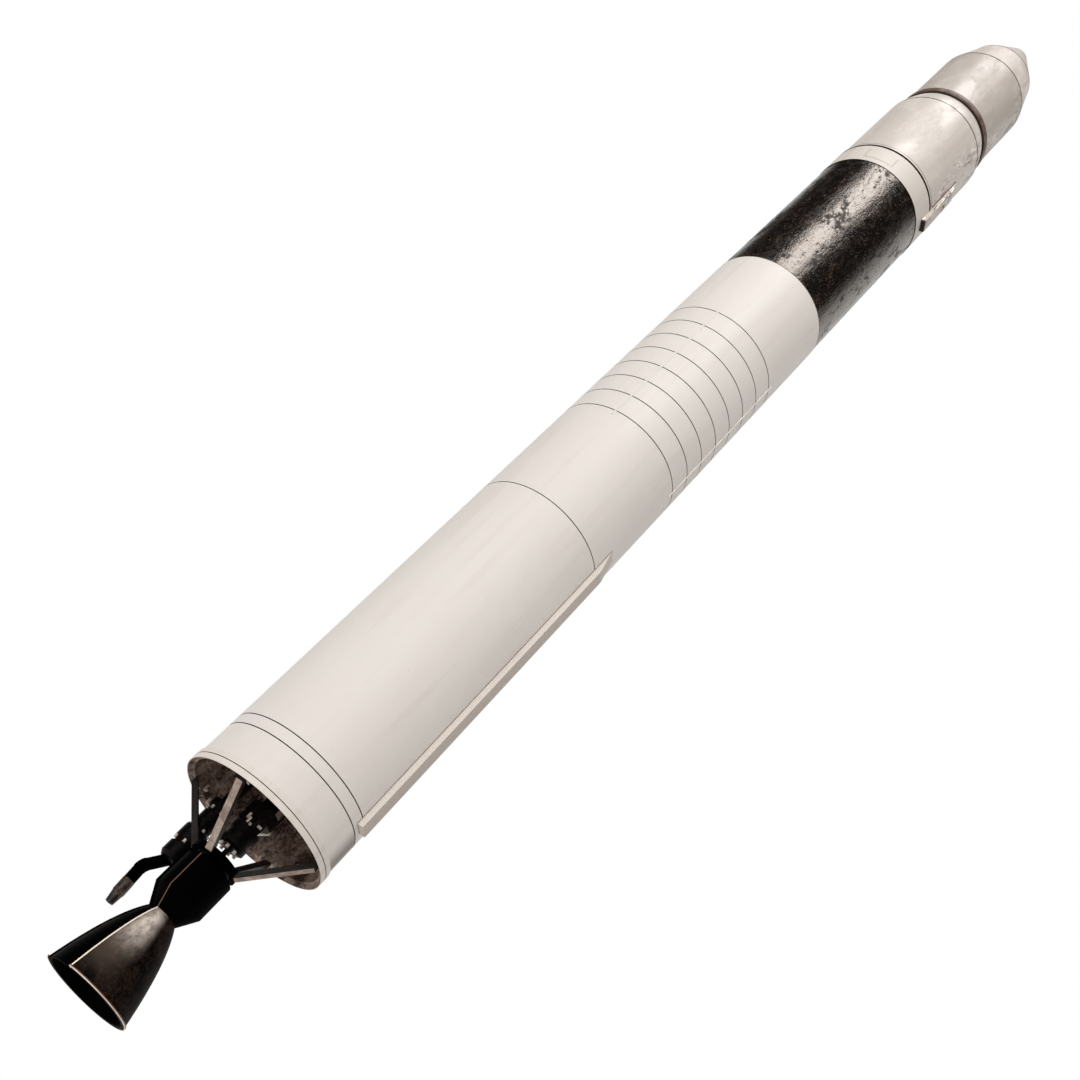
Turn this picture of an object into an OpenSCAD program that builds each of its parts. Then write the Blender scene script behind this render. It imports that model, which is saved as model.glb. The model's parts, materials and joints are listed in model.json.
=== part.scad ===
// Flying scale model of a liquid-fuelled rocket stage, nose up along +Z.
// The origin is the centre of the aft rim, where the body meets a lower stage or a stand.
// Four assemblies come apart or move: the airframe, the pull-off tail with its
// gimballed display engine, and the pull-off nose section.

/* [Airframe] */
// Outer diameter of the body
body_d = 66; // [60:1:76]
// Thickness of the structural body tubes
tube_wall = 1; // [0.8:0.1:1.4]
// Thickness of the skins wrapped round the body tubes
skin_wall = 0.8; // [0.6:0.1:1]
// Width of an open panel line
line_w = 0.4; // [0.3:0.05:0.6]
// Width of the deep groove ahead of the riveted collar
groove_w = 1.7; // [0.6:0.1:2]
// Height of the line where the tail pulls off
tail_top = 19.4; // [19:0.1:21]
// Height of the forward edge of the seam band
band_top = 24.7; // [24:0.1:26]
// Height of the line between the long aft skin and the plain skin
aft_skin_top = 177.3; // [176:0.1:190]
// Height of the first tank band line
bands_start = 240.5; // [230:0.5:244]
// Distance between tank band lines
band_pitch = 12.8; // [10:0.1:13]
// Height where the black skin starts
black_start = 383.4; // [370:0.1:390]
// Height where the black skin ends
black_end = 498.8; // [490:0.1:500]
// Height of the deep groove ahead of the riveted collar
collar_top = 516.1; // [514:0.1:518]
// Height of the small step down to the narrower forward skin
ledge_top = 519.6; // [518.5:0.1:521]
// Height of the thin line near the forward end
adapter_start = 585.2; // [583:0.1:590]
// Top of the airframe, where the nose section stands
airframe_top = 600; // [598:0.5:603]

/* [Nose] */
// Outer diameter of the nose tube
nose_d = 59; // [56:0.5:61]
// Height where the nose tube starts, above the dark ring
nose_start = 604.4; // [603:0.1:606]
// Height of the line between the nose tube and the frustum
nose_line = 660.5; // [650:0.5:670]
// Height of the line between the frustum and the cap
frustum_top = 689; // [680:1:695]
// Outer diameter at that line
frustum_d = 46.4; // [44:0.2:50]
// Height of the edge where the cap starts to round over
cap_edge = 723.2; // [715:0.5:728]
// Outer diameter at the cap's edge
cap_d = 16; // [14:0.5:20]
// Length of the shoulder that plugs into the airframe
shoulder_len = 40; // [30:1:44]

/* [Tail] */
// Diameter of the aft ring
rim_d = 67.2; // [66.6:0.1:68]
// Height of the aft ring
rim_h = 5.1; // [4:0.1:6]
// Width of the struts, across their outer face
strut_w = 3; // [1.8:0.1:3.4]
// Direction of the first strut round the body
strut_turn = -118; // [-125:1:-110]
// Length of the coupler above the pull-off line
coupler_grip = 25; // [15:1:28]

/* [Engine] */
// Height of the gimbal's centre
gimbal_z = -19.6; // [-20:0.1:-19]
// Outer diameter of the combustion chamber
chamber_d = 21.8; // [20:0.1:22]
// Outer diameter of the throat
throat_d = 12.6; // [11:0.1:14]
// Outer diameter of the nozzle exit
exit_d = 36; // [34:0.2:37]
// Height of the throat
throat_z = -45.8; // [-47:0.1:-45]
// Height of the nozzle exit
exit_z = -80.7; // [-84:0.1:-78]
// Thickness of the jacket round the chamber and nozzle
jacket_t = 1.1; // [0.9:0.1:1.3]
// Width of the open sector in the jacket, in degrees
slot_angle = 64; // [40:1:80]
// Direction of the edge of that sector nearer the first strut
slot_turn = -124; // [-130:1:-118]

/* [Raceway] */
// Direction of the raceway round the body
race_turn = -28.8; // [-31:0.2:-26]
// Width of the raceway
race_w = 7.2; // [5:0.1:9]
// Height of the raceway above the skin
race_h = 2.6; // [1.5:0.1:3.2]
// Height where the raceway starts
race_start = 21.6; // [21:0.1:24]
// Height where its forward ramp starts
race_ramp = 178; // [170:1:182]
// Height where the ramp meets the skin
race_end = 192.5; // [190:0.5:200]

/* [Motor mount] */
// Bore of the motor tube
motor_bore = 24.2; // [18.2:0.1:29.2]
// Length of the motor tube
motor_len = 95; // [70:1:110]
// Diameter of the launch lug's bore
lug_bore = 5.2; // [3.4:0.1:5.2]
// Length of each launch lug
lug_len = 30; // [20:1:40]

/* [Hidden] */

smooth = 96;            // facets of a large round part
fine = 32;              // facets of a small round part
eps = 0.5;              // how far a cutting shape runs past what it cuts
body_r = body_d / 2;
tube_r = body_r - skin_wall;
bore_r = tube_r - tube_wall;
half_line = line_w / 2;
slip = 0.08;            // radial clearance of a part that slides inside another

// Airframe
tube_join = black_start + 1;
coupler_half = 33;
baffle_t = 2.4;
baffle_vent_r = 2.5;
baffle_vent_ring = 18;
band_count = 7;
bands_end = bands_start + band_count * band_pitch;
strip_w = 0.9;
strip_t = 0.15;
strip_margin = 3;
strip_turns = [0, 90, 180, 270];
groove_end = collar_top + groove_w;
black_r = body_r - 0.3;
upper_r = body_r - 0.65;
upper_tube_r = upper_r - 0.5;
adapter_bore_r = 28.1;
// Outline of the adapter's curved face: radius and height of each point
adapter_line = [[upper_r, adapter_start + half_line], [32.1, 588], [31.5, 591], [30.8, 594], [29.9, 597],
    [28.7, airframe_top]];
// Outline of the dark ring, from its aft face forward
ring_line = [[29.9, airframe_top], [30.45, airframe_top + 1.6], [30.45, nose_start - 0.6],
    [30.2, nose_start]];
adapter_spigot_start = 572;

// Rivets of the access panel on the collar
panel_left = -131.6;
panel_right = -101.5;
panel_low = 503.2;
panel_high = 511.6;
rivet_r = 0.28;
rivet_h = 0.22;
rivets_across = 15;
rivets_up = 5;

// Forward fairing
fairing_turn = -30.3;
fairing_start = 506.4;
fairing_ramp = 545;
fairing_end = 556;
fairing_aft_h = 2.5;    // height above the collar at the aft end
fairing_fore_h = 1.9;   // and at the start of its forward ramp
vent_t = 1.2;
vent_inset = 0.4;

// Motor mount and recovery gear
motor_start = 48;
motor_wall = 0.7;
ring_t = 3;
thrust_ring_len = 6;
thrust_ring_bore_r = 9.5;
lug_wall = 0.6;
lug_stand = 0.9;        // clearance between the launch rod's line and the skin
lug_lower_z = 120;
lug_upper_z = 420;
anchor_turn = 75;
anchor_z = 470;

// Tail
rim_lip_r = rim_d / 2 - 0.3;
rim_chamfer = 1.5;
rim_line_z = 2.6;
rim_line_w = 0.35;
rim_line_depth = 0.4;
coupler_start = 8;
bulkhead_z = tail_top - 0.1;
bulkhead_t = 2;
post_r = 5.8;
post_core_r = 3.8;
box_x = [-6, 4];
box_y = [-4, 4.5];
box_z = [-2.8, 1.6];
fitting_t = 0.9;
// Outline of the post's steps: radius and height of each point
post_line = [
    [0, -12.4], [4.6, -12.4], [post_r, -11.6], [post_r, -9.6], [5.1, -9.4], [5.1, -6.2],
    [post_r, -6], [post_r, -3.2], [post_core_r, box_z[0]], [post_core_r, box_z[1]],
    [6.4, box_z[1]], [6.4, 6.6], [3.4, 7.4], [3.4, bulkhead_z], [0, bulkhead_z]
];
post_bolt = [3.6, 0.7, 1.4];    // radius of the bolt ring, bolt radius and height
pipe_r = 1.05;
// Small fittings on the gearbox: x, z, width and height
box_fittings = [[-3.9, -1, 1, 2.2], [-2.8, -2.3, 0.9, 2.4], [-1.4, -2.6, 1, 1], [1.6, -1, 1.8, 0.9]];
strut_count = 4;
strut_t = 2.3;          // thickness of a strut
strut_wall_r = bore_r - 0.1;
strut_wall_z = 0.9;
strut_hub_r = 9.8;
strut_hub_z = -20.1;
hub_out_r = 10.4;
hub_in_r = 8.5;
hub_low = -20.8;
hub_high = -18.2;
// Wiring clips on the skirt's wall: direction and height of each
clips = [[-113, 0.5], [40, 4.8], [56, 1], [68.2, 1.2], [127.4, 0.6], [138, 2.4]];
clip_t = 0.9;
clip_foot = [2.2, 0.9];         // reach and height of a clip's lower plate
clip_back = [0.9, 2.6];         // reach and height of its back plate
clip_gap = 0.01;

// Gimbal
pin_r = 0.8;
pin_bore_r = 0.86;
gimbal_out_r = 7.7;
gimbal_in_r = 6.2;
gimbal_h = 2.2;
boss_r = 4.7;
boss_top = -18;

// Engine
chamber_r = chamber_d / 2;
throat_r = throat_d / 2;
exit_r = exit_d / 2;
head_top = -21.5;
head_r = 7.7;
head_edge = -23.1;
cone_start = -37.9;
liner_t = 0.8;
bell_steps = 20;
bell_knee_z = throat_z + 0.28 * (exit_z - throat_z);
bell_knee_r = throat_r + 0.59 * (exit_r - throat_r);

// Turbopump and exhaust duct beside the chamber
pump_at = [-12.9, 15.5];
duct_r = 2.35;
pump_low = -27.3;
// Outline of the pump's housings: radius and height of each point
pump_line = [
    [0, pump_low], [2.6, pump_low], [3.9, -26.8], [4.95, -25.2], [4.95, -20.5], [4.2, -20],
    [4.2, -18.2], [5.25, -18.2], [5.25, -12.2], [3.9, -12.2], [3.9, -10.6], [4.3, -10.4],
    [4.3, -3.7], [3.6, -3.7], [3.6, -1.4], [4.8, -1.4], [4.8, 2], [2.6, 2.4],
    [2.6, bulkhead_z], [0, bulkhead_z]
];
// Rings of bolts under the pump's flanges: ring radius, height, bolt radius, length, turn
pump_rings = [[4.85, -19.6, 0.6, 1.4, -100], [4.5, -12.2, 0.55, 1.3, -70],
    [4.2, -2.7, 0.55, 1.3, -70]];
tray_near = [6.9, 2.6];
tray_far = [1.5, 20.6];
tray_low = 2.2;
tray_bar = [1.2, 0.9];          // width and height of the bar
tray_leg = [1.2, 0.8];          // width and thickness of each leg
tray_leg_in = 2;                // distance of each leg from the bar's end
duct_top = [-12, pump_at[1], -25];
duct_bend = [-18.2, pump_at[1], -34.6];
sleeve_top = [-17.7, pump_at[1], -41.7];
sleeve_len = 10.2;
duct_elbow = 5;         // bend radius of the duct's elbow
duct_flare = 0.15;      // how much thicker the elbow is than the straight runs
duct_lap = 0.7;         // how far a straight run reaches into the elbow
duct_in = atan2(duct_top[0] - duct_bend[0], duct_top[2] - duct_bend[2]);
duct_out = atan2(duct_bend[0] - sleeve_top[0], duct_bend[2] - sleeve_top[2]);
sleeve_share = 0.55;    // share of the lower run that the sleeve covers

// Point on a quadratic curve through a and c that leaves each towards b
function curve_point(a, b, c, t) = (1 - t) * (1 - t) * a + 2 * t * (1 - t) * b + t * t * c;
// Direction of a run that leans by an angle from straight down, and its normal
function heading(lean) = [-sin(lean), 0, -cos(lean)];
function inward(lean) = [cos(lean), 0, -sin(lean)];
// Outline of the bell, from throat to exit, moved inwards by d
function bell_line(d) = [
    for (i = [0 : bell_steps])
        curve_point([throat_r, throat_z], [bell_knee_r, bell_knee_z], [exit_r, exit_z],
            i / bell_steps) - [d, 0]
];
// Outline of the chamber, from head edge to throat, moved inwards by d
function chamber_line(d) = [
    [chamber_r - d, head_edge],
    [chamber_r - d, cone_start],
    [throat_r - d, throat_z]
];
function reversed(list) = [for (i = [len(list) - 1 : -1 : 0]) list[i]];

// A tube on the Z axis
module tube(z0, z1, outer, inner) {
    difference() {
        translate([0, 0, z0]) cylinder(h = z1 - z0, r = outer, $fn = smooth);
        translate([0, 0, z0 - eps]) cylinder(h = z1 - z0 + 2 * eps, r = inner, $fn = smooth);
    }
}

// A skin wrapped round a body tube between two panel lines
module skin(z0, z1) {
    tube(z0 + half_line, z1 - half_line, body_r, tube_r);
}

// A straight round rod between two points
module rod(a, b, r, sides = fine) {
    d = b - a;
    flat = norm([d[0], d[1]]);
    translate(a)
        rotate([0, atan2(flat, d[2]), atan2(d[1], d[0])])
            cylinder(h = norm(d), r = r, $fn = sides);
}

// A long cover on the body, from an outline of radii and heights; its foot is cut
// to the body later
module cover(turn, width, line) {
    foot_r = upper_r - 1.5;
    first = line[0][1];
    last = line[len(line) - 1][1];
    rotate([0, 0, turn])
        translate([0, width / 2, 0])
            rotate([90, 0, 0])
                linear_extrude(width)
                    polygon(concat([[foot_r, first]], line, [[foot_r, last]]));
}

// ---------------------------------------------------------------- airframe

module lower_body_tube() {
    color("#3a2f2a") tube(tail_top + half_line, tube_join - 0.1, tube_r, bore_r);
}

module upper_body_tube() {
    z0 = tube_join + 0.1;
    color("#3a2f2a")
        rotate_extrude($fn = smooth)
            polygon([
                [bore_r, z0],
                [tube_r, z0],
                [tube_r, ledge_top],
                [upper_tube_r, ledge_top],
                [upper_tube_r, adapter_start + half_line],
                [bore_r, adapter_start + half_line]
            ]);
}

module tube_coupler() {
    color("#8a6f55") tube(tube_join - coupler_half, tube_join + coupler_half,
        bore_r, bore_r - tube_wall);
}

// Vented disc that keeps the motor's hot gas off the recovery bay
module recovery_baffle() {
    z = tube_join + coupler_half - baffle_t;
    color("#b08a5c")
        difference() {
            translate([0, 0, z]) cylinder(h = baffle_t, r = bore_r - tube_wall, $fn = smooth);
            for (a = [0 : 60 : 300])
                rotate([0, 0, a])
                    translate([baffle_vent_ring, 0, z - eps])
                        cylinder(h = baffle_t + 2 * eps, r = baffle_vent_r, $fn = fine);
        }
}

module seam_band() {
    color("#e8e2da") skin(tail_top, band_top);
}

module aft_skin() {
    color("#ebe5de") skin(band_top, aft_skin_top);
}

module plain_skin() {
    color("#e9e3dc") skin(aft_skin_top, bands_start);
}

module tank_band(index) {
    z0 = bands_start + (index - 1) * band_pitch;
    color("#e9e3dc") skin(z0, z0 + band_pitch);
}

module forward_tank_skin() {
    color("#ebe5de") tube(bands_end + half_line, black_start, body_r, tube_r);
}

// Thin straps laid over the tank bands, a quarter turn apart
module seam_strips() {
    z0 = bands_start - strip_margin;
    z1 = bands_end + strip_margin;
    color("#efeae4")
        for (a = strip_turns)
            rotate([0, 0, race_turn + a])
                intersection() {
                    tube(z0, z1, body_r + strip_t, body_r);
                    translate([body_r - eps, -strip_w / 2, z0])
                        cube([2 * eps, strip_w, z1 - z0]);
                }
}

module black_skin() {
    color("#15110f") tube(black_start, black_end, black_r, tube_r);
}

module rivet_collar() {
    color("#e2dbd2") tube(black_end, collar_top, body_r, tube_r);
}

module rivet(turn, z) {
    rotate([0, 0, turn])
        translate([body_r, 0, z])
            rotate([0, 90, 0])
                cylinder(h = rivet_h, r1 = rivet_r, r2 = rivet_r * 0.6, $fn = 16);
}

// Rivets round three sides of an access panel
module collar_rivets() {
    step = (panel_right - panel_left) / (rivets_across - 1);
    rise = (panel_high - panel_low) / rivets_up;
    color("#8d8177") {
        for (i = [0 : rivets_across - 1])
            rivet(panel_left + i * step, panel_low);
        for (turn = [panel_left, panel_right])
            for (i = [1 : rivets_up])
                rivet(turn, panel_low + i * rise);
    }
}

// Forward skin: a short full-width lip, then a slightly narrower barrel
module upper_skin() {
    z1 = adapter_start - half_line;
    color("#ebe5de")
        rotate_extrude($fn = smooth)
            polygon([
                [tube_r, groove_end],
                [body_r, groove_end],
                [body_r, ledge_top],
                [upper_r, ledge_top],
                [upper_r, z1],
                [upper_tube_r, z1],
                [upper_tube_r, ledge_top],
                [tube_r, ledge_top]
            ]);
}

// Ring that steps the body down to the nose and carries the nose's socket
module nose_adapter() {
    z0 = adapter_start + half_line;
    color("#efeae2")
        rotate_extrude($fn = smooth)
            polygon(concat(
                [
                    [adapter_bore_r, adapter_spigot_start],
                    [bore_r, adapter_spigot_start],
                    [bore_r, z0]
                ],
                adapter_line,
                [[adapter_bore_r, airframe_top]]));
}

module raceway_cover() {
    top = body_r + race_h;
    sunk = body_r - 0.4;
    color("#e6dfd7")
        difference() {
            cover(race_turn, race_w,
                [[top, race_start], [top, race_ramp], [sunk, race_end]]);
            translate([0, 0, race_start - eps])
                cylinder(h = race_end - race_start + 2 * eps, r = body_r, $fn = smooth);
        }
}

// The part of the body that the forward fairing and its vent stand on
module fairing_bed() {
    low = fairing_start - vent_t - eps;
    translate([0, 0, low]) cylinder(h = ledge_top - low, r = body_r, $fn = smooth);
    translate([0, 0, low]) cylinder(h = fairing_end - low + eps, r = upper_r, $fn = smooth);
}

module forward_fairing() {
    color("#e6dfd7")
        difference() {
            cover(fairing_turn, race_w, [
                [body_r + fairing_aft_h, fairing_start],
                [body_r + fairing_fore_h, fairing_ramp],
                [upper_r - 0.4, fairing_end]
            ]);
            fairing_bed();
        }
}

// Black screen that closes the fairing's aft end
module fairing_vent() {
    top = body_r + fairing_aft_h - vent_inset / 2;
    color("#0c0a09")
        difference() {
            cover(fairing_turn, race_w - vent_inset,
                [[top, fairing_start - vent_t], [top, fairing_start]]);
            fairing_bed();
        }
}

module motor_tube() {
    color("#a98b66")
        tube(motor_start, motor_start + motor_len, motor_bore / 2 + motor_wall, motor_bore / 2);
}

// Two discs that hold the motor tube on the body's axis
module centering_rings() {
    first = motor_start + 4;
    second = motor_start + motor_len - 12;
    color("#b08a5c")
        for (z = [first, second])
            tube(z, z + ring_t, bore_r, motor_bore / 2 + motor_wall);
}

// Stop inside the motor tube that takes the motor's push
module thrust_ring() {
    z1 = motor_start + motor_len;
    color("#8a6f55") tube(z1 - thrust_ring_len, z1, motor_bore / 2, thrust_ring_bore_r);
}

// Tube for the launch rod, on a foot on the side away from the raceway
module launch_lug(z, foot_r) {
    outer = lug_bore / 2 + lug_wall;
    line = rim_d / 2 + lug_bore / 2 + lug_stand;
    color("#dcd5cc")
        translate([0, 0, z])
            difference() {
                union() {
                    translate([0, line, 0]) cylinder(h = lug_len, r = outer, $fn = fine);
                    translate([-outer / 2, foot_r - eps, 0])
                        cube([outer, line - foot_r + eps, lug_len]);
                }
                translate([0, line, -eps])
                    cylinder(h = lug_len + 2 * eps, r = lug_bore / 2, $fn = 48);
                translate([0, 0, -eps])
                    cylinder(h = lug_len + 2 * eps, r = foot_r, $fn = smooth);
            }
}

// Loop on the wall of the recovery bay that a shock cord ties to
module cord_anchor() {
    loop_r = 3;
    wire_r = 0.8;
    pad = [1.2, 12, 14];
    color("#9a9087")
        rotate([0, 0, anchor_turn])
            translate([bore_r - 2, 0, anchor_z]) {
                intersection() {
                    translate([0, -pad[1] / 2, -pad[2] / 2]) cube([4, pad[1], pad[2]]);
                    translate([2 - bore_r, 0, -pad[2]])
                        tube(0, 2 * pad[2], bore_r, bore_r - pad[0]);
                }
                translate([-loop_r + 0.6, 0, 0])
                    rotate([90, 0, 0])
                        rotate_extrude($fn = fine)
                            translate([loop_r, 0]) circle(r = wire_r, $fn = 16);
            }
}

// -------------------------------------------------------------------- tail

// Rolled ring round the open end of the skirt
module aft_ring() {
    r = rim_d / 2;
    half = rim_line_w / 2;
    color("#efe9e1")
        rotate_extrude($fn = smooth)
            polygon([
                [rim_lip_r, 0],
                [r, 0],
                [r, rim_line_z - half],
                [r - rim_line_depth, rim_line_z - half],
                [r - rim_line_depth, rim_line_z + half],
                [r, rim_line_z + half],
                [r, rim_h],
                [tube_r, rim_h],
                [tube_r, rim_chamfer]
            ]);
}

module skirt_tube() {
    color("#3a2f2a") tube(rim_chamfer, tail_top - half_line, tube_r, bore_r);
}

module skirt_skin() {
    color("#ebe5de") tube(rim_h, tail_top - half_line, body_r, tube_r);
}

// Sleeve glued in the skirt that slides up inside the lower body tube
module tail_coupler() {
    color("#2c2320")
        tube(coupler_start, tail_top + coupler_grip, bore_r - slip, bore_r - tube_wall);
}

module tail_bulkhead() {
    color("#2c2320")
        translate([0, 0, bulkhead_z])
            cylinder(h = bulkhead_t, r = bore_r - tube_wall, $fn = smooth);
}

// Square strut from the skirt's wall down to the hub over the chamber
module strut(index) {
    run = strut_wall_r + 2 - strut_hub_r;
    drop = strut_wall_z - strut_hub_z;
    slope = atan2(drop, strut_wall_r - strut_hub_r);
    color("#6b5c52")
        intersection() {
            rotate([0, 0, strut_turn + index * 360 / strut_count])
                translate([strut_hub_r, 0, strut_hub_z])
                    rotate([0, -slope, 0])
                        translate([-1, -strut_w / 2, -strut_t / 2])
                            cube([run / cos(slope) + 1, strut_w, strut_t]);
            difference() {
                translate([0, 0, hub_low])
                    cylinder(h = bulkhead_z - hub_low, r = bore_r, $fn = smooth);
                translate([0, 0, hub_low - eps])
                    cylinder(h = bulkhead_z - hub_low, r = hub_out_r, $fn = smooth);
            }
        }
}

// Small L-shaped clips on the skirt's wall
module wall_clips() {
    wall = bore_r - clip_gap;
    color("#b3a79b")
        for (clip = clips)
            rotate([0, 0, clip[0]])
                for (plate = [clip_foot, clip_back])
                    translate([wall - plate[0], -clip_t / 2, clip[1]])
                        cube([plate[0], clip_t, plate[1]]);
}

// Ring that the struts meet in, with bores for the gimbal's outer pins
module strut_hub() {
    color("#191411")
        difference() {
            tube(hub_low, hub_high, hub_out_r, hub_in_r);
            translate([-hub_out_r - eps, 0, gimbal_z])
                rotate([0, 90, 0])
                    cylinder(h = 2 * hub_out_r + 2 * eps, r = pin_bore_r, $fn = fine);
        }
}

// Stepped post under the bulkhead, on the engine's axis, with a square gearbox
module thrust_post() {
    color("#191411") {
        translate([box_x[0], box_y[0], box_z[0]])
            cube([box_x[1] - box_x[0], box_y[1] - box_y[0], box_z[1] - box_z[0]]);
        rotate_extrude($fn = 48) polygon(post_line);
    }
}

// Bolts and small fittings on the post
module post_bolts() {
    color("#cdbfb2") {
        for (a = [10 : 60 : 310])
            rotate([0, 0, a])
                translate([post_bolt[0], 0, post_line[0][1] - post_bolt[2]])
                    cylinder(h = post_bolt[2], r = post_bolt[1], $fn = 16);
        for (f = box_fittings)
            translate([f[0], box_y[0] - fitting_t, f[1]])
                cube([f[2], fitting_t, f[3]]);
    }
}

// Thin line down to the chamber's head; it ends in a loose socket there
module feed_pipe() {
    low = boss_top + 0.4;
    color("#0e0b0a")
        translate([0, 0, low]) cylinder(h = post_line[0][1] - low, r = pipe_r, $fn = fine);
}

// Stack of flanged pump housings, hung from the bulkhead
module turbopump() {
    color("#191411")
        translate([pump_at[0], pump_at[1], 0]) rotate_extrude($fn = 48) polygon(pump_line);
}

// Bolts under the pump's flanges
module pump_bolts() {
    color("#cdbfb2")
        translate([pump_at[0], pump_at[1], 0])
            for (ring = pump_rings)
                for (a = [0 : 60 : 300])
                    rotate([0, 0, a + ring[4]])
                        translate([ring[0], 0, ring[1]])
                            cylinder(h = ring[3], r = ring[2], $fn = 16);
}

// Bent exhaust pipe from the pump's lower dome: two straight runs and an elbow
module exhaust_duct() {
    reach = duct_elbow * tan((duct_in - duct_out) / 2);
    elbow_start = duct_bend - reach * heading(duct_in);
    elbow_end = duct_bend + reach * heading(duct_out);
    color("#0e0b0a") {
        difference() {
            rod(duct_top, elbow_start + duct_lap * heading(duct_in), duct_r);
            translate([duct_top[0], duct_top[1], pump_low])
                cylinder(h = 6, r = 6, $fn = fine);
        }
        translate(elbow_start + duct_elbow * inward(duct_in))
            rotate([90, -180 + duct_in, 0])
                rotate_extrude(angle = duct_in - duct_out, $fn = smooth)
                    translate([duct_elbow, 0]) circle(r = duct_r + duct_flare, $fn = fine);
        rod(elbow_end - duct_lap * heading(duct_out), sleeve_top, duct_r);
    }
}

// Heat-stained sleeve and tapered tip at the duct's end
module duct_sleeve() {
    mouth = 4;
    color("#4b3d36")
        translate(sleeve_top)
            rotate([0, 180 + duct_out, 0])
                rotate_extrude($fn = fine)
                    polygon([
                        [0, 0],
                        [duct_r + 0.12, 0],
                        [duct_r + 0.12, sleeve_len * sleeve_share],
                        [duct_r - 0.05, sleeve_len * sleeve_share],
                        [duct_r - 0.7, sleeve_len],
                        [duct_r - 1.3, sleeve_len],
                        [duct_r - 1.3, sleeve_len - mouth],
                        [0, sleeve_len - mouth]
                    ]);
}

// Pale bar that carries the wiring across the bay, hung on two legs
module wiring_tray() {
    d = tray_far - tray_near;
    leg_z = tray_low + tray_bar[1];
    color("#c9bdb0")
        translate([tray_near[0], tray_near[1], 0])
            rotate([0, 0, atan2(d[1], d[0])]) {
                translate([0, -tray_bar[0] / 2, tray_low])
                    cube([norm(d), tray_bar[0], tray_bar[1]]);
                for (x = [tray_leg_in, norm(d) - tray_leg_in])
                    translate([x - tray_leg[0] / 2, -tray_leg[1] / 2, leg_z])
                        cube([tray_leg[0], tray_leg[1], bulkhead_z - leg_z]);
            }
}

// ------------------------------------------------------------------ engine

// Ring between hub and chamber: pins along X outwards, bores along Y
module gimbal_ring() {
    half = gimbal_h / 2;
    pin_end = hub_out_r - 0.3;
    color("#231c18")
        difference() {
            union() {
                tube(gimbal_z - half, gimbal_z + half, gimbal_out_r, gimbal_in_r);
                for (side = [0, 180])
                    rotate([0, 0, side])
                        translate([gimbal_out_r - 0.6, 0, gimbal_z])
                            rotate([0, 90, 0])
                                cylinder(h = pin_end - gimbal_out_r + 0.6, r = pin_r, $fn = fine);
            }
            translate([0, -gimbal_out_r - eps, gimbal_z])
                rotate([-90, 0, 0])
                    cylinder(h = 2 * gimbal_out_r + 2 * eps, r = pin_bore_r, $fn = fine);
        }
}

// Domed head of the chamber, with the gimbal's inner pins on its boss
module injector_head() {
    pin_end = gimbal_out_r - 0.2;
    socket_r = 1.6;
    color("#120e0c")
        difference() {
            union() {
                translate([0, 0, head_top - 0.2])
                    cylinder(h = boss_top - head_top + 0.2, r = boss_r, $fn = 48);
                rotate_extrude($fn = smooth)
                    polygon([
                        [0, head_edge],
                        [chamber_r - jacket_t, head_edge],
                        [chamber_r, head_edge],
                        [head_r, head_top],
                        [0, head_top]
                    ]);
                translate([0, -pin_end, gimbal_z])
                    rotate([-90, 0, 0])
                        cylinder(h = 2 * pin_end, r = pin_r, $fn = fine);
            }
            translate([0, 0, boss_top - 2])
                cylinder(h = 2 + eps, r = socket_r, $fn = fine);
        }
}

// Inner wall of chamber, throat and bell, in one piece
module thrust_chamber() {
    outer = concat(chamber_line(jacket_t), bell_line(jacket_t));
    inner = concat(chamber_line(jacket_t + liner_t), bell_line(jacket_t + liner_t));
    color("#0c0a09")
        rotate_extrude($fn = smooth)
            polygon(concat(outer, reversed(inner)));
}

// Open sector of the jacket
module slot_wedge(z0, z1) {
    far = 40;
    rotate([0, 0, slot_turn - slot_angle])
        translate([0, 0, z0])
            linear_extrude(z1 - z0)
                polygon([
                    [0, 0],
                    [far, 0],
                    [far, far * tan(slot_angle / 2)],
                    [far * cos(slot_angle), far * sin(slot_angle)]
                ]);
}

module chamber_jacket() {
    color("#120e0c")
        difference() {
            rotate_extrude($fn = smooth)
                polygon(concat(chamber_line(0), reversed(chamber_line(jacket_t))));
            slot_wedge(throat_z - eps, head_edge + eps);
        }
}

module nozzle_jacket() {
    color("#4a3f38")
        difference() {
            rotate_extrude($fn = smooth)
                polygon(concat(bell_line(0), reversed(bell_line(jacket_t))));
            slot_wedge(exit_z - eps, throat_z + eps);
        }
}

// Bright bead round the jacket's exit
module exit_ring() {
    bead_h = 0.7;
    bead_t = 0.35;
    color("#c7a98b")
        difference() {
            tube(exit_z, exit_z + bead_h, exit_r + bead_t, exit_r);
            slot_wedge(exit_z - eps, exit_z + bead_h + eps);
        }
}

// -------------------------------------------------------------------- nose

// Dark ring that the nose section stands on
module separation_ring() {
    color("#4c3a33")
        rotate_extrude($fn = smooth)
            polygon(concat(
                [[adapter_bore_r + 0.05, airframe_top]],
                ring_line,
                [[adapter_bore_r + 0.05, nose_start]]));
}

module nose_tube() {
    color("#e9e3dc") tube(nose_start, nose_line - line_w, nose_d / 2, adapter_bore_r);
}

module nose_frustum() {
    spigot = 8;
    z0 = nose_line + line_w;
    z1 = frustum_top - half_line;
    wall = 1.4;
    color("#e7e0d8")
        rotate_extrude($fn = smooth)
            polygon([
                [adapter_bore_r - wall, z0 - spigot],
                [adapter_bore_r - slip, z0 - spigot],
                [adapter_bore_r - slip, z0],
                [nose_d / 2, z0],
                [frustum_d / 2, z1],
                [frustum_d / 2 - wall, z1]
            ]);
}

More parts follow.
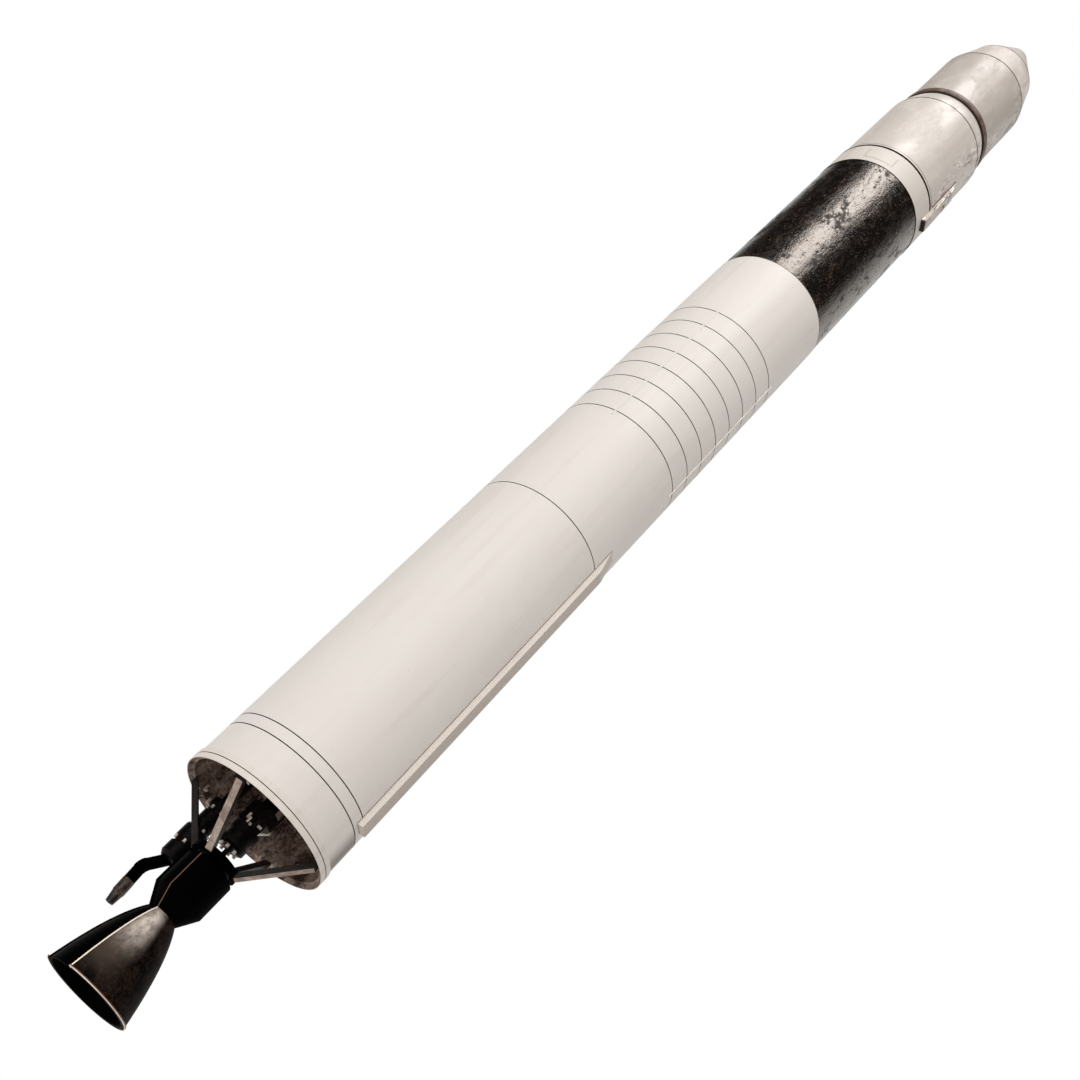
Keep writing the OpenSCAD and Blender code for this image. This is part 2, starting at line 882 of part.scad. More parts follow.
// Cap: a cone, then a round tip that continues its slope
module nose_cap() {
    z0 = frustum_top + half_line;
    wall = 1.6;
    spigot = 6;
    steps = 8;
    slope = atan2(frustum_d / 2 - cap_d / 2, cap_edge - z0);
    ball = (cap_d / 2) / cos(slope);
    mid = cap_edge - ball * sin(slope);
    tip = [for (i = [0 : steps]) let (a = slope + (90 - slope) * i / steps)
        [ball * cos(a), mid + ball * sin(a)]];
    color("#ddd5cb")
        rotate_extrude($fn = smooth)
            polygon(concat(
                [
                    [frustum_d / 2 - 2 * wall, z0 - spigot],
                    [frustum_d / 2 - wall, z0 - spigot],
                    [frustum_d / 2 - wall, z0],
                    [frustum_d / 2, z0]
                ],
                tip,
                [[0, cap_edge - 2], [cap_d / 2 - wall, cap_edge - 4]]));
}

// Tube that plugs into the airframe, closed by a disc with a ring for the cord
module nose_shoulder() {
    outer = adapter_bore_r - slip;
    low = airframe_top - shoulder_len;
    disc = 2.4;
    eye_r = 4;
    wire_r = 1;
    color("#d8cfc3") {
        tube(low, nose_start + 12, outer, outer - 1.2);
        translate([0, 0, low]) cylinder(h = disc, r = outer - 1, $fn = smooth);
    }
    color("#9a9087")
        translate([0, 0, low - eye_r])
            rotate([90, 0, 0])
                rotate_extrude($fn = fine)
                    translate([eye_r, 0]) circle(r = wire_r, $fn = 16);
}

lower_body_tube();
upper_body_tube();
tube_coupler();
recovery_baffle();
seam_band();
aft_skin();
plain_skin();
tank_band(1);  // tank_band_1
tank_band(2);  // tank_band_2
tank_band(3);  // tank_band_3
tank_band(4);  // tank_band_4
tank_band(5);  // tank_band_5
tank_band(6);  // tank_band_6
tank_band(7);  // tank_band_7
forward_tank_skin();
seam_strips();
black_skin();
rivet_collar();
collar_rivets();
upper_skin();
nose_adapter();
raceway_cover();
forward_fairing();
fairing_vent();
motor_tube();
centering_rings();
thrust_ring();
launch_lug(lug_lower_z, body_r);  // launch_lug_lower
launch_lug(lug_upper_z, black_r);  // launch_lug_upper
cord_anchor();
aft_ring();
skirt_tube();
skirt_skin();
tail_coupler();
tail_bulkhead();
strut(0);  // strut_1
strut(1);  // strut_2
strut(2);  // strut_3
strut(3);  // strut_4
wall_clips();
strut_hub();
thrust_post();
post_bolts();
feed_pipe();
turbopump();
pump_bolts();
exhaust_duct();
duct_sleeve();
wiring_tray();
gimbal_ring();
injector_head();
thrust_chamber();
chamber_jacket();
nozzle_jacket();
exit_ring();
separation_ring();
nose_tube();
nose_frustum();
nose_cap();
nose_shoulder();
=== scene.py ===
import json
import math

import bpy
from mathutils import Matrix, Vector


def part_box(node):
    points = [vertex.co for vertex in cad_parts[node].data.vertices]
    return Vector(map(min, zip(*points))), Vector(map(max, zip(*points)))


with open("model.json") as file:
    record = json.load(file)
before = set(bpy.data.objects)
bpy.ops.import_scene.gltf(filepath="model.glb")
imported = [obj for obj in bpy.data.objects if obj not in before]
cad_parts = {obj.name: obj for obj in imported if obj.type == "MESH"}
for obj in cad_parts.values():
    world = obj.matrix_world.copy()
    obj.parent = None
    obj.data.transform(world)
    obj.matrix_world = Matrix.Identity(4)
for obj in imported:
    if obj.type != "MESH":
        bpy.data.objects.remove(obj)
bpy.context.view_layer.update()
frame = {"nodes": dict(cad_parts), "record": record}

scene = bpy.context.scene
NODES = frame["nodes"]
REC = frame["record"]

AMBIENT = 0.55          # strength of the soft light from all round
STRIP = 13              # power of the tall softbox that makes the long highlight, W
KEY = 4.9               # power of the softbox at the camera's left, W
FLOOR_Z = -0.45         # height of the floor, m
FLOOR_HALF = 40.0       # half the floor's width, m
MM = 0.001


# ------------------------------------------------------------------ node helpers

class Graph:
    """A small builder for a material's node tree."""

    def __init__(self, name):
        self.mat = bpy.data.materials.new(name)
        self.mat.use_nodes = True
        self.tree = self.mat.node_tree
        self.shader = self.tree.nodes["Principled BSDF"]
        self.coord = self.tree.nodes.new("ShaderNodeTexCoord").outputs["Object"]

    def node(self, kind, **values):
        made = self.tree.nodes.new(kind)
        for key, value in values.items():
            if hasattr(made, key):
                setattr(made, key, value)
            else:
                made.inputs[key.replace("_", " ")].default_value = value
        return made

    def link(self, a, b):
        self.tree.links.new(a, b)

    def scaled(self, x, y, z, shift=(0, 0, 0)):
        m = self.node("ShaderNodeMapping")
        m.inputs["Scale"].default_value = (x, y, z)
        m.inputs["Location"].default_value = shift
        self.link(self.coord, m.inputs["Vector"])
        return m.outputs["Vector"]

    def noise(self, vector, scale, detail=4.0, rough=0.55, distort=0.0):
        n = self.node("ShaderNodeTexNoise")
        n.inputs["Scale"].default_value = scale
        n.inputs["Detail"].default_value = detail
        n.inputs["Roughness"].default_value = rough
        n.inputs["Distortion"].default_value = distort
        self.link(vector, n.inputs["Vector"])
        return n.outputs["Fac"]

    def ramp(self, fac, stops):
        r = self.node("ShaderNodeValToRGB")
        els = r.color_ramp.elements
        while len(els) > 1:
            els.remove(els[-1])
        els[0].position, els[0].color = stops[0][0], rgba(stops[0][1])
        for pos, col in stops[1:]:
            e = els.new(pos)
            e.color = rgba(col)
        self.link(fac, r.inputs["Fac"])
        return r.outputs["Color"]

    def mix(self, fac, a, b):
        m = self.node("ShaderNodeMix", data_type="RGBA")
        self.put(fac, m.inputs["Factor"])
        self.put(a, m.inputs[6])
        self.put(b, m.inputs[7])
        return m.outputs[2]

    def math(self, op, a, b=0.0, clamp=False):
        m = self.node("ShaderNodeMath", operation=op, use_clamp=clamp)
        self.put(a, m.inputs[0])
        self.put(b, m.inputs[1])
        return m.outputs[0]

    def put(self, value, socket):
        if isinstance(value, bpy.types.NodeSocket):
            self.link(value, socket)
        elif isinstance(value, (int, float)):
            socket.default_value = (
                (value, value, value, 1) if socket.type == "RGBA" else value
            )
        else:
            socket.default_value = rgba(value)

    def axis(self, which):
        s = self.node("ShaderNodeSeparateXYZ")
        self.link(self.coord, s.inputs[0])
        return s.outputs[which]

    def turn(self):
        """Direction round the body's axis, in degrees."""
        t = self.math("ARCTAN2", self.axis(1), self.axis(0))
        return self.math("MULTIPLY", t, 180 / math.pi)

    def window(self, value, centre, half):
        """1 at the centre, falling smoothly to 0 at half the width to each side."""
        away = self.math("ABSOLUTE", self.math("SUBTRACT", value, centre))
        m = self.node("ShaderNodeMapRange", interpolation_type="SMOOTHSTEP")
        m.inputs["From Min"].default_value = 0.0
        m.inputs["From Max"].default_value = half
        m.inputs["To Min"].default_value = 1.0
        m.inputs["To Max"].default_value = 0.0
        self.link(away, m.inputs["Value"])
        return m.outputs["Result"]

    def beside(self, turn, width):
        """1 within a width of the half plane that leaves the axis in a given direction."""
        across = self.math("SUBTRACT", self.math("MULTIPLY", self.axis(1), math.cos(turn)),
                           self.math("MULTIPLY", self.axis(0), math.sin(turn)))
        along = self.math("ADD", self.math("MULTIPLY", self.axis(0), math.cos(turn)),
                          self.math("MULTIPLY", self.axis(1), math.sin(turn)))
        near = self.math("LESS_THAN", self.math("ABSOLUTE", across), width)
        return self.math("MULTIPLY", near, self.math("GREATER_THAN", along, 0.0))

    def over(self, fac, colour):
        """Lays a colour over the base colour where fac is 1."""
        base = self.shader.inputs["Base Color"]
        self.link(self.mix(fac, base.links[0].from_socket, colour), base)

    def lines(self, marks, colour, depth=0.9):
        """Dark lines at given heights: marks are heights and half widths, in metres."""
        z = self.axis(2)
        fac = None
        for height, half in marks:
            away = self.math("ABSOLUTE", self.math("SUBTRACT", z, height))
            here = self.math("LESS_THAN", away, half)
            fac = here if fac is None else self.math("MAXIMUM", fac, here)
        self.over(self.math("MULTIPLY", fac, depth), colour)

    def bump(self, height, strength, distance=0.0002):
        b = self.node("ShaderNodeBump")
        b.inputs["Strength"].default_value = strength
        b.inputs["Distance"].default_value = distance
        self.link(height, b.inputs["Height"])
        self.link(b.outputs["Normal"], self.shader.inputs["Normal"])


def rgba(c):
    if isinstance(c, (int, float)):
        return (c, c, c, 1)
    return (*c, 1) if len(c) == 3 else tuple(c)


def srgb(r, g, b):
    """Linear colour of an 8-bit display colour."""
    return tuple(
        (v / 255 / 12.92) if v / 255 <= 0.04045 else ((v / 255 + 0.055) / 1.055) ** 2.4
        for v in (r, g, b)
    )


# ------------------------------------------------------------------ materials

def painted(name, base, dirt, grime=0.25, rough=0.5, streak=0.3, scuff=0.0):
    """Satin paint over card: cloudy tone, long faint streaks, specks and a rough bump."""
    g = Graph(name)
    cloud = g.noise(g.scaled(1, 1, 0.45), 22, 5, 0.6)
    streaks = g.noise(g.scaled(1, 1, 0.06), 160, 4, 0.6)
    specks = g.noise(g.scaled(1, 1, 0.5), 900, 3, 0.7)
    tone = g.mix(g.math("MULTIPLY", cloud, grime), base, dirt)
    lines = g.ramp(streaks, [(0.52, 0), (0.74, 1)])
    tone = g.mix(g.math("MULTIPLY", lines, streak), tone, dirt)
    dots = g.ramp(specks, [(0.66, 0), (0.78, 1)])
    tone = g.mix(g.math("MULTIPLY", dots, 0.4), tone, dirt)
    if scuff:
        side = g.math("ADD", g.window(g.turn(), -32, 38), 0.12)
        patch = g.ramp(g.noise(g.scaled(1, 1, 0.4), 70, 6, 0.7, 0.8), [(0.46, 0), (0.58, 1)])
        chips = g.ramp(g.noise(g.scaled(1, 1, 0.35), 480, 5, 0.75), [(0.50, 0), (0.60, 1)])
        chalk = g.ramp(g.noise(g.scaled(1, 1, 0.35, (0.3, 0, 0)), 300, 5, 0.7),
                       [(0.48, 0), (0.56, 1)])
        where = g.math("MULTIPLY", g.math("MULTIPLY", patch, side), scuff, True)
        tone = g.mix(g.math("MULTIPLY", where, chalk), tone, srgb(252, 248, 244))
        tone = g.mix(g.math("MULTIPLY", where, chips), tone, srgb(104, 86, 76))
    g.link(tone, g.shader.inputs["Base Color"])
    r = g.math("ADD", g.math("MULTIPLY", cloud, 0.3), rough - 0.15)
    if scuff:
        r = g.math("ADD", r, g.math("MULTIPLY", g.math("SUBTRACT", patch, 0.5), 0.24))
    g.link(r, g.shader.inputs["Roughness"])
    h = g.math("ADD", g.math("MULTIPLY", specks, 0.5), g.math("MULTIPLY", streaks, 0.5))
    g.bump(h, 0.3, 0.0001)
    return g


def shade_root(g, radius):
    """Adds a dark line of painted shade along the crease where a piece meets the body's skin."""
    x = g.axis(0)
    y = g.axis(1)
    flat = g.math("SQRT", g.math("ADD", g.math("MULTIPLY", x, x), g.math("MULTIPLY", y, y)))
    g.over(g.math("LESS_THAN", flat, radius), srgb(96, 80, 70))


def mottled(name, dark, pale, low, high, rough, size=60, metal=0.0, bump=0.5,
            shine=0.5):
    """Dark paint broken by irregular paler patches."""
    g = Graph(name)
    big = g.noise(g.scaled(1, 1, 0.7), size, 6, 0.65, 0.6)
    small = g.noise(g.scaled(1, 1, 1), size * 7, 4, 0.7)
    both = g.math("ADD", g.math("MULTIPLY", big, 0.6), g.math("MULTIPLY", small, 0.4))
    patch = g.ramp(both, [(low, 0), (high, 1)])
    tone = g.mix(patch, dark, pale)
    g.link(tone, g.shader.inputs["Base Color"])
    g.link(g.math("ADD", g.math("MULTIPLY", small, 0.3), rough - 0.15),
           g.shader.inputs["Roughness"])
    g.shader.inputs["Metallic"].default_value = metal
    g.shader.inputs["Specular IOR Level"].default_value = shine
    g.bump(both, bump, 0.0004)
    return g


def gloss_black(name):
    """Black enamel with a warm sheen, broken by dull dark patches, pits and dust."""
    g = Graph(name)
    peel = g.noise(g.scaled(1, 1, 0.45), 240, 5, 0.65, 0.4)
    grit = g.noise(g.scaled(1, 1, 0.7), 1100, 4, 0.7)
    wear_and_highlight = g.noise(g.scaled(1, 1, 0.5), 70, 7, 0.75, 0.9)
    dust = g.math("ADD", g.math("MULTIPLY", peel, 0.5), g.math("MULTIPLY", grit, 0.5))
    spots = g.ramp(dust, [(0.52, 0), (0.64, 1)])
    tone = g.mix(g.math("MULTIPLY", spots, 0.6), srgb(13, 8, 6), srgb(98, 76, 63))
    flaked = g.noise(g.scaled(1, 1, 0.6), 420, 5, 0.75)
    ragged = g.math("ADD", g.math("MULTIPLY", wear_and_highlight, 0.55), g.math("MULTIPLY", flaked, 0.45))
    dull = g.ramp(ragged, [(0.525, 0), (0.575, 1)])
    tone = g.mix(dull, tone, srgb(10, 6, 4))
    g.link(tone, g.shader.inputs["Base Color"])
    pits = g.ramp(grit, [(0.58, 0), (0.66, 1)])
    r = g.math("ADD", g.math("MULTIPLY", peel, 0.22), 0.10)
    r = g.math("ADD", r, g.math("MULTIPLY", pits, 0.4))
    r = g.math("ADD", r, g.math("MULTIPLY", dull, 0.32), True)
    g.link(r, g.shader.inputs["Roughness"])
    shine = g.math("SUBTRACT", 1.0, g.math("MULTIPLY", dull, 0.75))
    g.shader.inputs["IOR"].default_value = 1.62
    g.link(shine, g.shader.inputs["Specular IOR Level"])
    g.shader.inputs["Specular Tint"].default_value = (1.0, 0.88, 0.78, 1)
    h = g.math("ADD", g.math("MULTIPLY", peel, 0.8), g.math("MULTIPLY", grit, 0.2))
    g.bump(h, 0.5, 0.0008)
    return g


def card(name, base, dark):
    """Bare or stained card with a fine fibre."""
    g = Graph(name)
    fibre = g.noise(g.scaled(1, 1, 4), 300, 5, 0.7)
    cloud = g.noise(g.scaled(1, 1, 1), 30, 3, 0.5)
    tone = g.mix(g.math("MULTIPLY", fibre, 0.7), base, dark)
    tone = g.mix(g.math("MULTIPLY", cloud, 0.4), tone, dark)
    g.link(tone, g.shader.inputs["Base Color"])
    g.link(g.math("ADD", g.math("MULTIPLY", fibre, 0.2), 0.7), g.shader.inputs["Roughness"])
    g.bump(fibre, 0.3, 0.0002)
    return g


WHITE = srgb(237, 233, 229)
DIRT = srgb(178, 162, 150)
SEAM = srgb(58, 38, 27)
SLOT_EDGE = math.radians(-124)      # direction of the near edge of the jacket's open sector
MATS = {
    "white_skin": painted("skin_paint", WHITE, DIRT, streak=0.14),
    "white_collar": painted("collar_paint", srgb(224, 218, 211), srgb(165, 150, 138)),
    "white_moulding": painted("moulding_paint", srgb(236, 230, 224), DIRT, 0.3, 0.5),
    # The nose's paint is a darker copy of the white: painted shade where the tall softbox lights
    # the nose more
    "nose_white": painted("nose_paint", srgb(191, 185, 178), DIRT, 0.3, 0.46, scuff=0.8),
    "nose_cap": painted("cap_paint", srgb(190, 183, 176), srgb(150, 137, 127), 0.4, 0.5),
    "lug_card": painted("lug_paint", srgb(230, 224, 217), DIRT),
    "rivet": mottled("rivet_stain", srgb(104, 86, 76), srgb(168, 150, 138), 0.4, 0.6, 0.5, 400),
    "black_skin": gloss_black("black_paint"),
    "dark_ring": mottled("ring_paint", srgb(84, 64, 56), srgb(140, 118, 106), 0.42, 0.62, 0.5, 200),
    # The inner tube is coloured dark brown: painted shade in the gaps between the skin panels,
    # where it shows
    "body_tube": card("dark_card", srgb(62, 38, 26), srgb(26, 15, 10)),
    "inner_card": mottled("bay_paint", srgb(62, 45, 38), srgb(206, 182, 168), 0.44, 0.66, 0.5, 110,
                          0.0, 0.8, shine=0.2),
    "shoulder_card": card("pale_card", srgb(196, 174, 146), srgb(140, 116, 92)),
    "motor_card": card("motor_card", srgb(182, 156, 120), srgb(120, 96, 70)),
    "plywood": card("plywood", srgb(196, 158, 112), srgb(130, 92, 56)),
    "vent_black": mottled("vent_black", srgb(6, 4, 3), srgb(20, 14, 12), 0.4, 0.7, 0.6, 300),
    "steel_wire": mottled("wire", srgb(150, 142, 136), srgb(200, 192, 186), 0.4, 0.6, 0.35,
                          500, 1.0),
    "strut_metal": mottled("strut_paint", srgb(10, 7, 6), srgb(44, 33, 28), 0.46, 0.64, 0.45, 260),
    "bracket_metal": mottled("bracket_paint", srgb(160, 142, 130), srgb(226, 214, 204), 0.4, 0.6,
                             0.4, 400),
    "engine_black": mottled("engine_paint", srgb(5, 3, 3), srgb(72, 55, 47), 0.54, 0.70, 0.42, 190,
                            0.0, 0.7, shine=0.12),
    "liner_black": mottled("liner_paint", srgb(1, 1, 1), srgb(8, 5, 4), 0.5, 0.75, 0.6, 120,
                           shine=0.02),
    "nozzle_metal": mottled("nozzle_paint", srgb(7, 4, 3), srgb(56, 42, 35), 0.46, 0.70, 0.55,
                            130, 0.0, 0.7, shine=0.03),
    "sleeve_metal": mottled("sleeve_paint", srgb(22, 15, 12), srgb(110, 90, 78), 0.47, 0.64, 0.4,
                            200, 0.0),
    "bright_bolt": mottled("bolt_metal", srgb(206, 190, 178), srgb(244, 236, 228), 0.4, 0.6, 0.3,
                           500, 0.3),
    "tray_metal": mottled("tray_paint", srgb(190, 172, 158), srgb(234, 222, 212), 0.4, 0.6,
                          0.4, 300),
    # Bright colour of the exit bead: painted highlight on the nozzle's rim
    "exit_bead": mottled("bead_painted_highlight", srgb(222, 198, 178), srgb(255, 240, 226), 0.4, 0.6, 0.35,
                         300, 0.0),
    # Dark colour for the faces inside the panel lines and the rim's groove
    "seam_dark": mottled("seam_line_dark", srgb(22, 15, 12), srgb(58, 44, 37), 0.4, 0.6, 0.7, 300),
    "strut_pale": mottled("strut_face", srgb(132, 114, 103), srgb(190, 172, 160), 0.42, 0.58, 0.45,
                          300),
    "jacket": mottled("jacket_paint", srgb(1, 1, 1), srgb(9, 6, 5), 0.55, 0.75, 0.65, 190,
                      0.0, 0.4, shine=0.015),
    "strip_pale": painted("strip_paint", WHITE, DIRT, streak=0.14),
    # Brighter, metallic copy of the strip's paint: painted highlight on the strip's +X side
    "strip_bright": mottled("strip_painted_highlight", srgb(214, 200, 186), srgb(255, 247, 238), 0.38, 0.56,
                            0.28, 300, 0.75),
    "skirt": painted("skirt_paint", WHITE, DIRT, streak=0.14),
    "chamber_black": mottled("chamber_paint", srgb(1, 1, 1), srgb(9, 6, 5), 0.55, 0.75, 0.65, 190,
                             0.0, 0.4, shine=0.015),
    # The forward skin, frustum and adapter get darker copies of the white: painted shade where the
    # tall softbox lights them more
    "forward_skin": painted("forward_paint", srgb(217, 211, 205), DIRT, 0.3, 0.44, 0.25, 1.0),
    "frustum": painted("frustum_paint", srgb(205, 198, 191), DIRT, 0.3, 0.5, scuff=0.6),
    "adapter": painted("adapter_paint", srgb(212, 206, 200), DIRT, 0.3, 0.44, 0.25, 0.6),
    "cover": painted("cover_paint", srgb(230, 223, 216), DIRT, 0.3, 0.5),
    # Darker copy of the cover's paint: painted shade on the cover's outward face
    "cover_shade": painted("cover_side_painted_shade", srgb(199, 190, 182), DIRT, 0.3, 0.5),
    # The fairing's paint is darker: painted shade on the fairing
    "fairing": painted("fairing_paint", srgb(206, 196, 187), DIRT, 0.35, 0.55, scuff=1.0),
}


def between(lower, upper):
    """Height of the line between two pieces of skin that follow each other."""
    return (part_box(lower)[1].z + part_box(upper)[0].z) / 2


# Lines, stains, painted shade and painted highlights that sit at known places on the pieces
PLAIN = ["skirt_skin", "seam_band", "aft_skin", "plain_skin"]
TANK = ["plain_skin"] + [f"tank_band_{i}" for i in range(1, 8)] + ["forward_tank_skin"]
AFT_LINES = [(between(a, b), 0.28 * MM) for a, b in zip(PLAIN, PLAIN[1:])]
TANK_LINES = [(between(a, b), 0.36 * MM) for a, b in zip(TANK, TANK[1:])]
MATS["white_skin"].lines(AFT_LINES + TANK_LINES, SEAM, 0.4)
MATS["white_skin"].lines([(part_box("black_skin")[0].z, 0.5 * MM)], SEAM)
MATS["skirt"].lines(AFT_LINES[:1], SEAM, 0.4)
LEDGE = max(v.co.z for v in NODES["upper_skin"].data.vertices
            if math.hypot(v.co.x, v.co.y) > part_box("upper_skin")[1].x - 0.1 * MM)
SKIN_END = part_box("upper_skin")[1].z
# The mark just below the ledge is a painted shade line; the other is a dark line at the skin's
# forward end
MATS["forward_skin"].lines([(LEDGE - 0.25 * MM, 0.22 * MM), (SKIN_END, 0.3 * MM)], SEAM, 0.8)
MATS["adapter"].lines([(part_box("upper_body_tube")[1].z, 0.3 * MM)], SEAM, 0.8)
MATS["nose_white"].lines([(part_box("nose_tube")[1].z + 0.4 * MM, 0.7 * MM)], SEAM)
MATS["nose_cap"].lines([(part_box("nose_frustum")[1].z + 0.3 * MM, 0.3 * MM)], SEAM)
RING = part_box("separation_ring")
MATS["dark_ring"].lines([(RING[0].z, 0.3 * MM), (RING[1].z, 0.45 * MM)], srgb(22, 14, 11))
# Painted shade along the roots of the raceway cover and the forward fairing
shade_root(MATS["cover"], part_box("aft_skin")[1].x + 0.22 * MM)
shade_root(MATS["fairing"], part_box("nose_adapter")[1].x + 0.7 * MM)
# Painted shadow of the raceway on the skirt, under the raceway's end
g = MATS["skirt"]
g.over(g.math("MULTIPLY", g.window(g.turn(), -17, 20), 0.85), srgb(104, 83, 70))
# Painted highlight on the bell where it leaves the throat, a fainter painted highlight lower down
# the bell, and a painted highlight line along the open sector's edge
g = MATS["nozzle_metal"]
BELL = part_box("nozzle_jacket")
wear_and_highlight = g.math("MULTIPLY", g.window(g.turn(), -101, 36),
              g.window(g.axis(2), BELL[1].z - 6.7 * MM, 16.5 * MM))
highlight_specks = g.ramp(g.noise(g.scaled(1, 1, 0.6), 420, 5, 0.7), [(0.36, 0.35), (0.6, 1)])
g.over(g.math("MULTIPLY", wear_and_highlight, highlight_specks, True), srgb(232, 218, 207))
low = g.math("MULTIPLY", g.window(g.turn(), -108, 40),
             g.window(g.axis(2), BELL[0].z + 13.7 * MM, 13 * MM))
g.over(g.math("MULTIPLY", low, 0.13), srgb(190, 168, 152))
g.over(g.beside(SLOT_EDGE, 0.55 * MM), srgb(255, 240, 222))
# Painted highlight, a thin brown line, along the near edge of the chamber jacket's open sector
g = MATS["jacket"]
g.over(g.beside(SLOT_EDGE, 0.4 * MM), srgb(120, 92, 76))
# The exit bead keeps its bright colour only along its aft corner: a painted highlight on the
# nozzle's rim
g = MATS["exit_bead"]
BEAD_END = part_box("exit_ring")[0].z + 0.3 * MM
g.over(g.math("GREATER_THAN", g.axis(2), BEAD_END), srgb(88, 60, 46))
# The wiring tray's legs are in black sleeves
g = MATS["tray_metal"]
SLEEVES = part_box("wiring_tray")[0].z + 0.9 * MM
g.over(g.math("GREATER_THAN", g.axis(2), SLEEVES), srgb(14, 10, 8))

SLOT_OF = {s["node"]: s["material_slot"] for s in REC["subparts"]}
SPECIAL = {"raceway_cover": "cover", "forward_fairing": "fairing", "upper_skin": "forward_skin",
           "nose_adapter": "adapter", "seam_strips": "strip_pale", "skirt_skin": "skirt",
           "injector_head": "chamber_black", "chamber_jacket": "jacket",
           "exhaust_duct": "chamber_black", "strut_hub": "chamber_black",
           "skirt_tube": "inner_card", "nose_frustum": "frustum"}
SEAMED = [n for n, slot in SLOT_OF.items()
          if slot in ("white_skin", "white_collar", "nose_white", "nose_cap", "black_skin")]


def second(mesh, key, chosen):
    """Paints the polygons that chosen() picks with a second material."""
    mesh.materials.append(MATS[key].mat)
    index = len(mesh.materials) - 1
    for p in mesh.polygons:
        if chosen(p):
            p.material_index = index


def outward(p):
    flat = Vector((p.center.x, p.center.y, 0))
    return p.normal.dot(flat.normalized()) if flat.length > 1e-6 else 0.0


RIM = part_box("aft_ring")[0].z
for name, obj in NODES.items():
    mesh = obj.data
    mesh.materials.clear()
    mesh.materials.append(MATS[SPECIAL.get(name, SLOT_OF[name])].mat)
    for p in mesh.polygons:
        p.material_index = 0
    if name in SEAMED:
        second(mesh, "seam_dark", lambda p: abs(p.normal.z) > 0.9)
    if name.startswith("strut_") and name[6:].isdigit():
        second(mesh, "strut_pale", lambda p: -0.95 < p.normal.z < -0.5)
    # The raceway cover's outward face gets the darker copy: painted shade on the side turned from
    # the light
    if name == "raceway_cover":
        second(mesh, "cover_shade", lambda p: outward(p) > 0.8)
    # The seam strip's +X side gets the brighter copy: painted highlight where it catches the light
    if name == "seam_strips":
        second(mesh, "strip_bright", lambda p: p.center.x > 0)
    if name == "aft_ring":
        second(mesh, "inner_card", lambda p: outward(p) < 0.3 and p.center.z < RIM + 1.6 * MM
               and abs(p.normal.z) < 0.95)
        second(mesh, "seam_dark", lambda p: 2.1 * MM < p.center.z - RIM < 3.1 * MM)


# ------------------------------------------------------------------ camera

cam_data = bpy.data.cameras.new("camera")
cam = bpy.data.objects.new("camera", cam_data)
scene.collection.objects.link(cam)
cam_data.sensor_width = 36.0
cam_data.lens = 45.357
RIGHT = Vector((0.708493, -0.393518, 0.585817))
UP = Vector((-0.705715, -0.392844, 0.589609))
BACK = RIGHT.cross(UP).normalized()
UP = BACK.cross(RIGHT).normalized()
RIGHT = UP.cross(BACK).normalized()
cam.matrix_world = Matrix.Translation((0, -0.504173, -0.156504)) @ Matrix(
    (RIGHT, UP, BACK)).transposed().to_4x4()
cam_data.clip_start = 0.01
scene.camera = cam


# ------------------------------------------------------------------ light and backdrop

world = bpy.data.worlds.new("studio")
scene.world = world
world.use_nodes = True
wt = world.node_tree
wt.nodes.clear()


def world_node(kind, **values):
    made = wt.nodes.new(kind)
    for key, value in values.items():
        setattr(made, key, value)
    return made


def background(colour, strength):
    b = world_node("ShaderNodeBackground")
    b.inputs["Color"].default_value = (*colour, 1)
    b.inputs["Strength"].default_value = strength
    return b


seen = background((1, 1, 1), 1.0)
soft = background((1.0, 0.965, 0.93), AMBIENT)
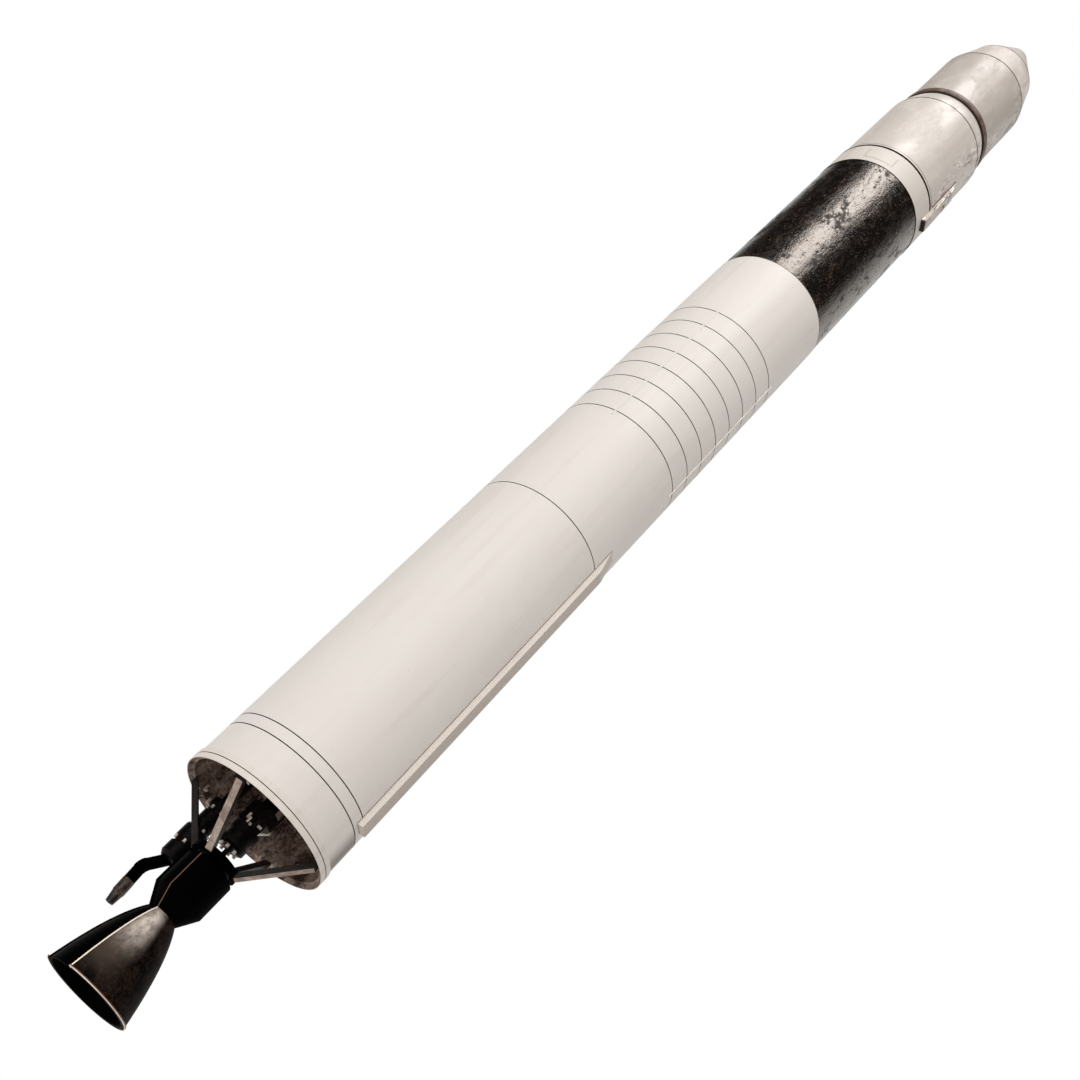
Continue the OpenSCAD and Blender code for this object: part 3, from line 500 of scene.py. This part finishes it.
# The white backdrop stands behind and to the right; the room on the camera's side is dark.
mirror = background((1, 0.985, 0.965), 1.0)
coord = world_node("ShaderNodeTexCoord")
toward = world_node("ShaderNodeVectorMath", operation="DOT_PRODUCT")
toward.inputs[1].default_value = (0.5, 1.0, 0.0)
wt.links.new(coord.outputs["Generated"], toward.inputs[0])
edge = world_node("ShaderNodeMapRange", interpolation_type="SMOOTHSTEP")
edge.inputs["From Min"].default_value = 0.19
edge.inputs["From Max"].default_value = 0.43
edge.inputs["To Min"].default_value = 0.012
edge.inputs["To Max"].default_value = 1.0
wt.links.new(toward.outputs["Value"], edge.inputs["Value"])
wt.links.new(edge.outputs["Result"], mirror.inputs["Strength"])
path = world_node("ShaderNodeLightPath")
lit = world_node("ShaderNodeMixShader")
wt.links.new(path.outputs["Is Glossy Ray"], lit.inputs[0])
wt.links.new(soft.outputs[0], lit.inputs[1])
wt.links.new(mirror.outputs[0], lit.inputs[2])
whole = world_node("ShaderNodeMixShader")
wt.links.new(path.outputs["Is Camera Ray"], whole.inputs[0])
wt.links.new(lit.outputs[0], whole.inputs[1])
wt.links.new(seen.outputs[0], whole.inputs[2])
wt.links.new(whole.outputs[0], world_node("ShaderNodeOutputWorld").inputs[0])

scene.view_settings.view_transform = "Standard"


def area(name, at, look, size, power, colour=(1, 0.98, 0.965)):
    data = bpy.data.lights.new(name, "AREA")
    data.shape = "RECTANGLE"
    data.size, data.size_y = size
    data.energy = power
    data.color = colour
    o = bpy.data.objects.new(name, data)
    scene.collection.objects.link(o)
    o.location = at
    o.rotation_mode = "QUATERNION"
    o.rotation_quaternion = (Vector(look) - Vector(at)).to_track_quat("-Z", "Y")
    return o


area("strip", (-0.33, -0.66, 1.6), (0, 0, 0.5), (0.6, 1.1), STRIP)
area("key", (-0.7, -1.1, 0.1), (0, 0, 0.2), (0.9, 1.2), KEY)

floor_data = bpy.data.meshes.new("floor")
floor_data.from_pydata([(x * FLOOR_HALF, y * FLOOR_HALF, FLOOR_Z)
                        for x, y in ((-1, -1), (1, -1), (1, 1), (-1, 1))], [], [(0, 1, 2, 3)])
floor = bpy.data.objects.new("floor", floor_data)
scene.collection.objects.link(floor)
fg = Graph("floor_paint")
grain = fg.noise(fg.scaled(1, 1, 1), 40, 3, 0.5)
fg.link(fg.mix(fg.math("MULTIPLY", grain, 0.2), (0.86, 0.85, 0.84), (0.80, 0.79, 0.78)),
        fg.shader.inputs["Base Color"])
fg.shader.inputs["Roughness"].default_value = 0.8
floor_data.materials.append(fg.mat)
